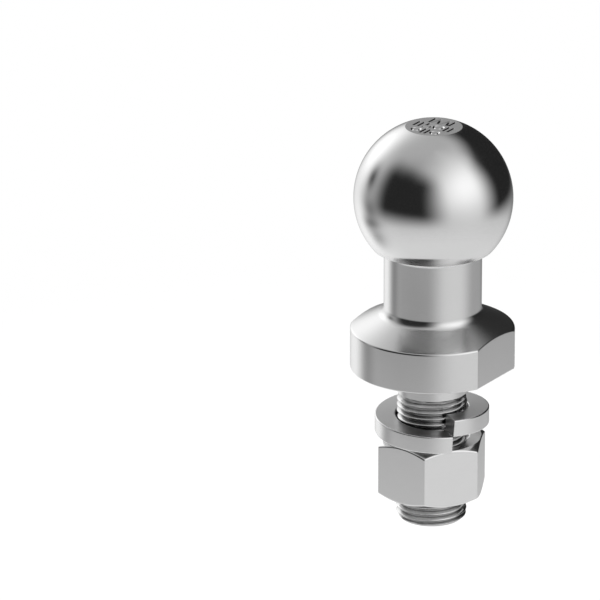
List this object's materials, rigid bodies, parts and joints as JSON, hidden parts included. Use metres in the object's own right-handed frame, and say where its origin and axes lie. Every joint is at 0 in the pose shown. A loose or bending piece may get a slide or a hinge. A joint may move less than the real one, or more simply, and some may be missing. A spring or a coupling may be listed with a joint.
{
  "type": "threaded tow ball",
  "caption": "Threaded tow ball: ball on a neck and coned flange with spanner flats, threaded shank, split spring washer and hex nut.",
  "frame": {"origin": "centre of the flange's underside, the seat that bears on the tow bar", "axes": "+Z along the shank's axis towards the ball, +X square to a spanner flat of the flange"},
  "size_m": [0.05, 0.0518, 0.1301],
  "materials": {
    "stud_plate": "satin chrome plate over turned and forged steel",
    "washer_plate": "plated spring steel, a little duller than the ball",
    "nut_plate": "plated steel with drawn flats"
  },
  "bodies": {
    "stud": {"tow_ball": "stud_plate"},
    "washer": {"spring_washer": "washer_plate"},
    "nut": {"hex_nut": "nut_plate"}
  },
  "joints": [
    {"name": "washer_travel", "type": "slide", "parent": "stud", "child": "washer", "axis": [0, 0, 1], "range_m": [-0.0391, 0.0121]},
    {"name": "nut_spin", "type": "hinge", "parent": "washer", "child": "nut", "pos_m": [0, 0, -0.0328], "axis": [0, 0, 1], "range_deg": [-7020, 2170]}
  ],
  "couplings": [
    {"joint": "washer_travel", "follows": "nut_spin", "m_per_rad": 0.00031831}
  ]
}
